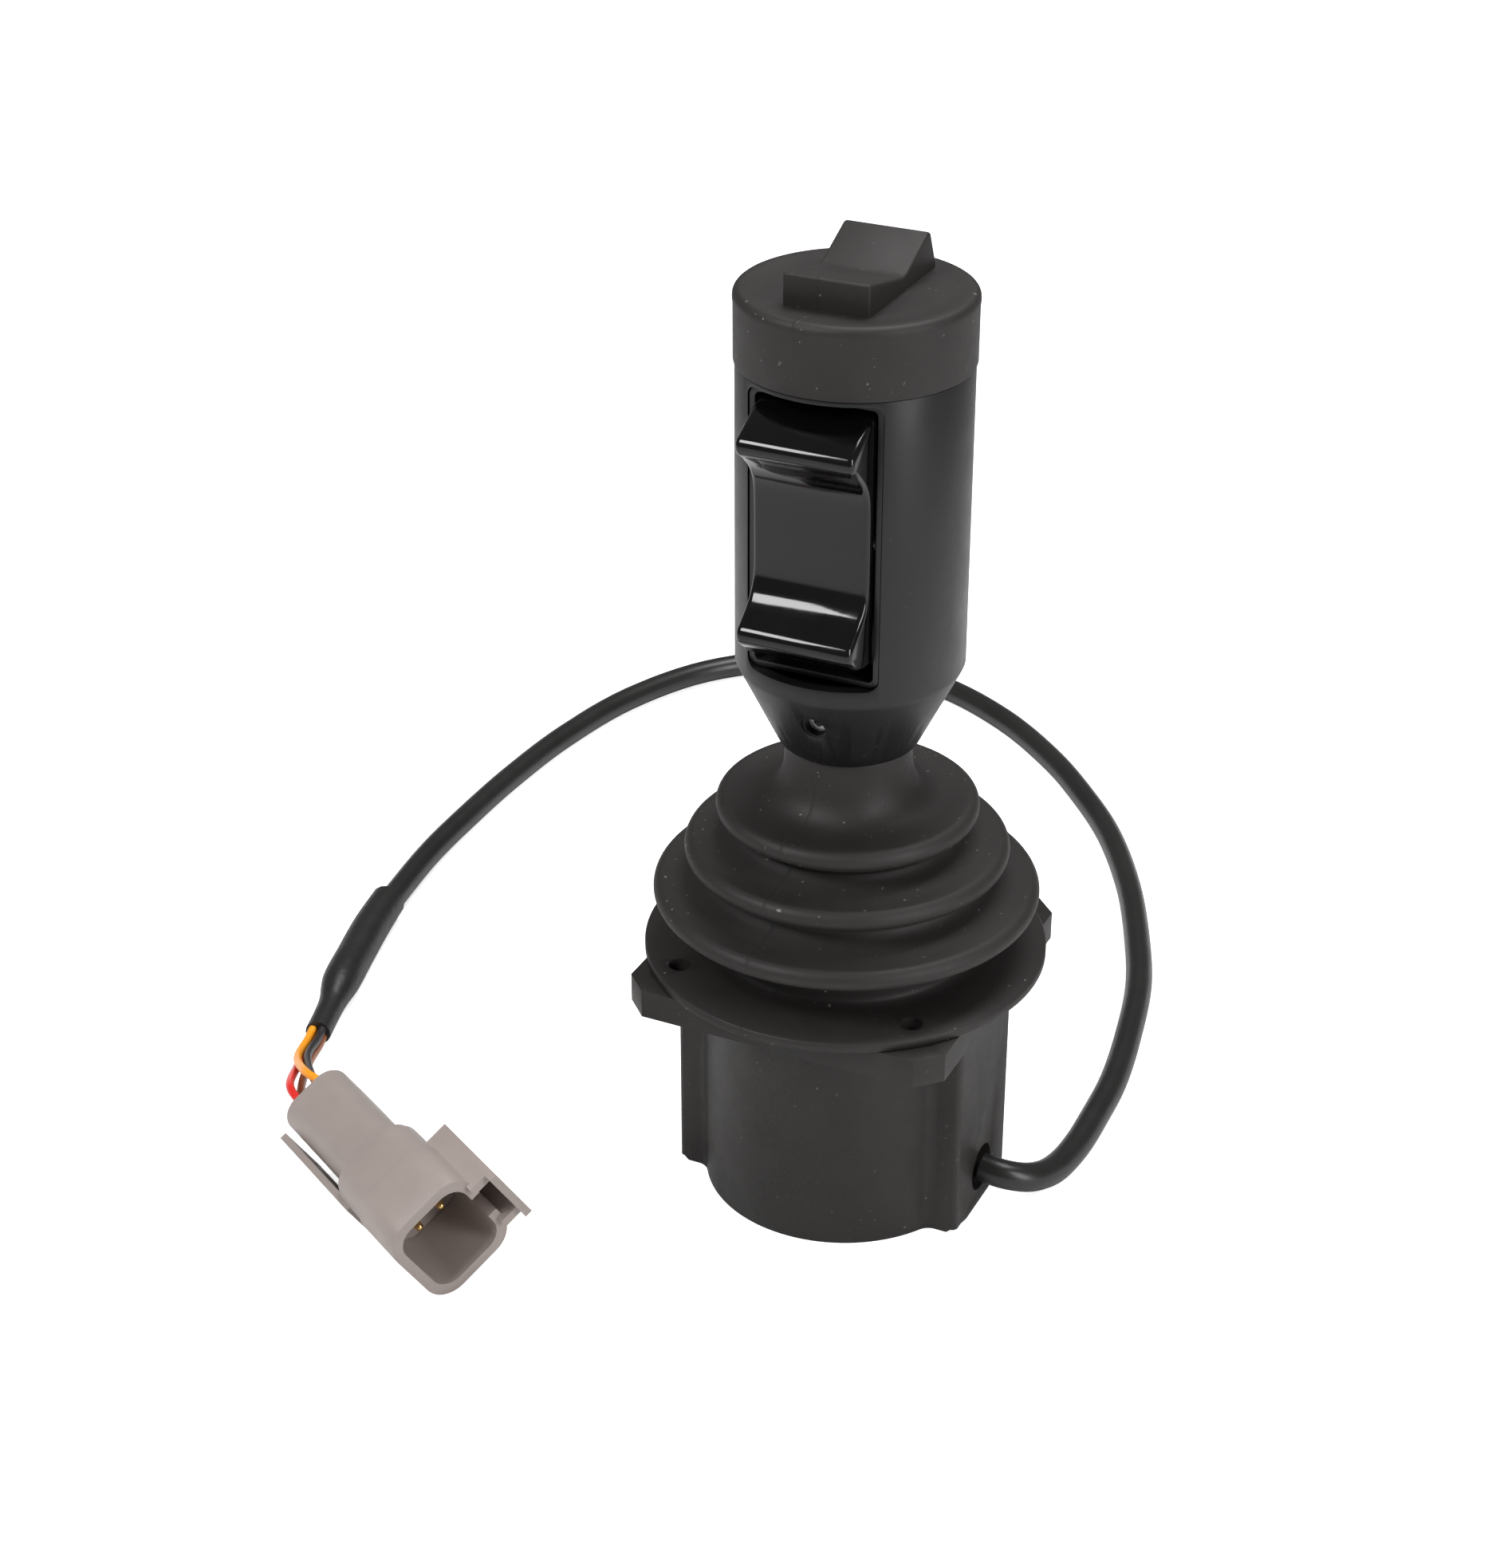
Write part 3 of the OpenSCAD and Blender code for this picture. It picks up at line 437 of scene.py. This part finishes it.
# %% [markdown]
# ## Finishes
# Shader sums read best as plain expressions. A small class wraps a socket, so that adding or
# multiplying two of them adds the Math node.


# %% Shader helper
class Signal:
    """One number that may vary over a surface."""

    def __init__(self, tree, socket):
        self.tree = tree
        self.socket = socket

    def math(self, operation, first, second=None):
        node = self.tree.nodes.new("ShaderNodeMath")
        node.operation = operation
        for place, value in zip(node.inputs, (first, second)):
            if isinstance(value, Signal):
                self.tree.links.new(value.socket, place)
            elif value is not None:
                place.default_value = value
        return Signal(self.tree, node.outputs[0])

    def __add__(self, other):
        return self.math("ADD", self, other)

    def __mul__(self, other):
        return self.math("MULTIPLY", self, other)

    def __gt__(self, other):
        return self.math("GREATER_THAN", self, other)


class Finish:
    """A material under construction, with its shader and the object's own coordinates."""

    def __init__(self, name, roughness, **fixed):
        self.material = bpy.data.materials.new(name)
        self.material.use_nodes = True
        self.tree = self.material.node_tree
        self.shader = self.tree.nodes["Principled BSDF"]
        self.shader.inputs["Roughness"].default_value = roughness
        for socket, value in fixed.items():
            self.shader.inputs[socket.replace("_", " ")].default_value = value
        self.place = self.add("ShaderNodeTexCoord").outputs["Object"]

    def add(self, kind, settings=None, **sockets):
        """Any other node: its settings first, then the values or links of its sockets."""
        node = self.tree.nodes.new(kind)
        for key, value in (settings or {}).items():
            setattr(node, key, value)
        for key, value in sockets.items():
            target = node.inputs[key.replace("_", " ")]
            if isinstance(value, Signal):
                self.tree.links.new(value.socket, target)
            elif isinstance(value, bpy.types.NodeSocket):
                self.tree.links.new(value, target)
            else:
                target.default_value = value
        return node

    def noise(self, size, detail=3):
        """Cloudy noise whose features are about size metres across."""
        node = self.add("ShaderNodeTexNoise", None, Vector=self.place, Scale=1 / size,
                        Detail=detail, Roughness=0.55)
        return Signal(self.tree, node.outputs["Fac"])

    def colours(self, factor, first, second):
        """A colour between two, by a factor."""
        node = self.add("ShaderNodeMix", {"data_type": "RGBA"})
        self.tree.links.new(factor.socket, node.inputs[0])
        for place, value in ((node.inputs[6], first), (node.inputs[7], second)):
            if isinstance(value, bpy.types.NodeSocket):
                self.tree.links.new(value, place)
            else:
                place.default_value = (*value, 1)
        return node.outputs[2]

    def join(self, colour, roughness, height, depth):
        """Feeds the shader's varying sockets: its colour, its roughness and a fine relief."""
        self.tree.links.new(colour, self.shader.inputs["Base Color"])
        self.tree.links.new(roughness.socket, self.shader.inputs["Roughness"])
        bump = self.add("ShaderNodeBump", None, Height=height, Distance=depth, Strength=1.0)
        self.tree.links.new(bump.outputs[0], self.shader.inputs["Normal"])
        return self.material


# %% Finish recipes
def ramp(finish, value, low, high):
    """0 below low, 1 above high, and even between."""
    node = finish.add("ShaderNodeMapRange", None, Value=value, From_Min=low, From_Max=high)
    return Signal(finish.tree, node.outputs[0])


DUST = (0.32, 0.3, 0.29)


def moulded(name, colour, roughness, mottle=0.25, grain=0.0004, depth=0.00002, dust=0.0,
            line=None, **fixed):
    """Moulded or extruded material: cloudy tone, fine grain, a few dust specks, a mould line."""
    finish = Finish(name, roughness, **fixed)
    cloud = finish.noise(0.018, 4)
    dark = tuple(v * (1 - mottle) for v in colour)
    light = tuple(v * (1 + mottle) for v in colour)
    tone = finish.colours(ramp(finish, cloud, 0.3, 0.7), dark, light)
    height = finish.noise(grain, 2)
    patch = finish.noise(0.006, 3)
    if dust:
        speck = ramp(finish, finish.noise(0.0011, 1), 0.74, 0.78) * ramp(finish, cloud, 0.4, 0.6)
        tone = finish.colours(speck * dust, tone, DUST)
    if line is not None:
        split = finish.add("ShaderNodeSeparateXYZ", None, Vector=finish.place)
        x, y = Signal(finish.tree, split.outputs[0]), Signal(finish.tree, split.outputs[1])
        turn = math.radians(line)
        off = x * -math.sin(turn) + y * math.cos(turn)
        ahead = (x * math.cos(turn) + y * math.sin(turn)) > 0.0
        ridge = ramp(finish, off.math("ABSOLUTE", off), 0.00032, 0.00008) * ahead
        height = height * 0.3 + ridge * 1.6
    rough = patch * 0.16 + (roughness - 0.08)
    return finish.join(tone, rough, height, depth)


def bare_metal(name, colour, roughness):
    """Turned or plated metal with faint streaks."""
    finish = Finish(name, roughness, Metallic=1.0)
    streak = finish.noise(0.0015, 3)
    tone = finish.colours(streak, tuple(v * 0.85 for v in colour), colour)
    return finish.join(tone, streak * 0.2 + (roughness - 0.1), finish.noise(0.0003), 0.000004)


# %% Materials by slot
materials = {
    "housing_plastic": moulded("housing_plastic", (0.0125, 0.0102, 0.0092), 0.5, 0.3, 0.0005,
                               0.00003, dust=0.2, Specular_IOR_Level=0.4),
    "boot_rubber": moulded("boot_rubber", (0.016, 0.0134, 0.0126), 0.58, 0.18, 0.0006, 0.00005,
                           dust=0.6, line=-96, Specular_IOR_Level=0.4),
    "grip_anodised": moulded("grip_anodised", (0.0045, 0.0045, 0.005), 0.4, 0.2, 0.0002,
                             0.000006, dust=0.1, Specular_IOR_Level=0.4),
    "rocker_gloss": moulded("rocker_gloss", (0.002, 0.002, 0.0022), 0.12, 0.1, 0.004, 0.00002,
                            Specular_IOR_Level=0.35, Coat_Weight=0.15, Coat_Roughness=0.04),
    "cable_jacket": moulded("cable_jacket", (0.011, 0.0105, 0.01), 0.34, 0.25, 0.002, 0.00003),
    "sleeve_black": moulded("sleeve_black", (0.010, 0.0095, 0.009), 0.42, 0.25, 0.0022, 0.00012),
    "wire_orange": moulded("wire_orange", (0.9, 0.33, 0.01), 0.35, 0.06),
    "wire_red": moulded("wire_red", (0.72, 0.02, 0.015), 0.35, 0.06),
    "wire_black": moulded("wire_black", (0.02, 0.018, 0.02), 0.35, 0.1),
    "wire_brown": moulded("wire_brown", (0.28, 0.09, 0.035), 0.35, 0.1),
    "connector_grey": moulded("connector_grey", (0.31, 0.262, 0.242), 0.42, 0.09, 0.0004,
                              0.00002),
    "seal_rubber": moulded("seal_rubber", (0.5, 0.2, 0.06), 0.55, 0.1),
    "board_green": moulded("board_green", (0.02, 0.12, 0.05), 0.35, 0.1),
    "chip_black": moulded("chip_black", (0.02, 0.02, 0.02), 0.5, 0.1),
    "inner_plastic": moulded("inner_plastic", (0.008, 0.008, 0.0085), 0.4, 0.15),
    "plunger_ivory": moulded("plunger_ivory", (0.6, 0.57, 0.48), 0.4, 0.05),
    "contact_gold": bare_metal("contact_gold", (0.9, 0.62, 0.24), 0.25),
    "steel": bare_metal("steel", (0.42, 0.42, 0.43), 0.35),
    "alloy": bare_metal("alloy", (0.6, 0.61, 0.62), 0.4),
}
for node, piece in frame["nodes"].items():
    piece.data.materials.clear()
    piece.data.materials.append(materials[slot_of[node]])
for piece, node in [(cable, "cable"), (sleeve, "shrink_sleeve"), (low_bellows, "bellows"),
                    (high_bellows, "bellows"), (cap, "grip_cap"), (hood, "top_rocker"),
                    (rocker, "front_rocker")] + [(w, w.name[:-5]) for w in wires]:
    piece.data.materials.clear()
    piece.data.materials.append(materials[slot_of[node]])
for piece in bpy.data.objects:
    if piece.name.endswith("_soft"):
        piece.data.materials.clear()
        piece.data.materials.append(materials[slot_of[piece.name[:-5]]])
print(len(materials), "finishes")

# %% [markdown]
# ## Floor and light
# The background is white to the camera and to transmission rays and a dim grey to all other rays,
# and a plain pale floor under the lamps keeps the object's soft shadow.

# %% Floor
floor_mesh = bpy.data.meshes.new("floor")
reach = 4
below_part = 0.0001
floor_mesh.from_pydata([(-reach, -reach, 0), (reach, -reach, 0), (reach, reach, 0),
                        (-reach, reach, 0)], [], [(0, 1, 2, 3)])
floor = bpy.data.objects.new("floor", floor_mesh)
floor.location.z = -below_part
bpy.context.scene.collection.objects.link(floor)
pale = Finish("floor_pale", 0.9)
pale.shader.inputs["Base Color"].default_value = (0.85, 0.85, 0.85, 1)
seen = pale.add("ShaderNodeLightPath")
camera_ray = Signal(pale.tree, seen.outputs["Is Camera Ray"])
glow = camera_ray * 0.74
pale.shader.inputs["Emission Color"].default_value = (1, 1, 1, 1)
pale.tree.links.new(glow.socket, pale.shader.inputs["Emission Strength"])
floor_mesh.materials.append(pale.material)

# %% World
world = bpy.data.worlds.new("studio")
bpy.context.scene.world = world
world.use_nodes = True
sky = world.node_tree
path = sky.nodes.new("ShaderNodeLightPath")
seen = Signal(sky, path.outputs["Is Camera Ray"]) + Signal(sky, path.outputs["Is Transmission Ray"])
strength = seen * 0.8 + 0.2
background = sky.nodes["Background"]
background.inputs["Color"].default_value = (1, 1, 1, 1)
sky.links.new(strength.socket, background.inputs["Strength"])


# %% Lamps
def softbox(name, place, aim, size, power):
    """A rectangular lamp that faces a point."""
    data = bpy.data.lights.new(name, "AREA")
    data.shape = "RECTANGLE"
    data.size, data.size_y = size
    data.energy = power
    lamp = bpy.data.objects.new(name, data)
    lamp.location = place
    lamp.rotation_euler = (Vector(aim) - Vector(place)).to_track_quat("-Z", "Y").to_euler()
    bpy.context.scene.collection.objects.link(lamp)


softbox("key", (-0.5, -0.7, 0.9), (0, 0, 0.1), (0.4, 0.4), 8.5)
softbox("right_strip", (0.8, -0.25, 0.45), (0, 0, 0.11), (0.2, 0.7), 5)
softbox("top", (0.05, 0.3, 1.0), (0, 0, 0.1), (0.6, 0.4), 7)
bpy.context.scene.view_settings.view_transform = "Standard"
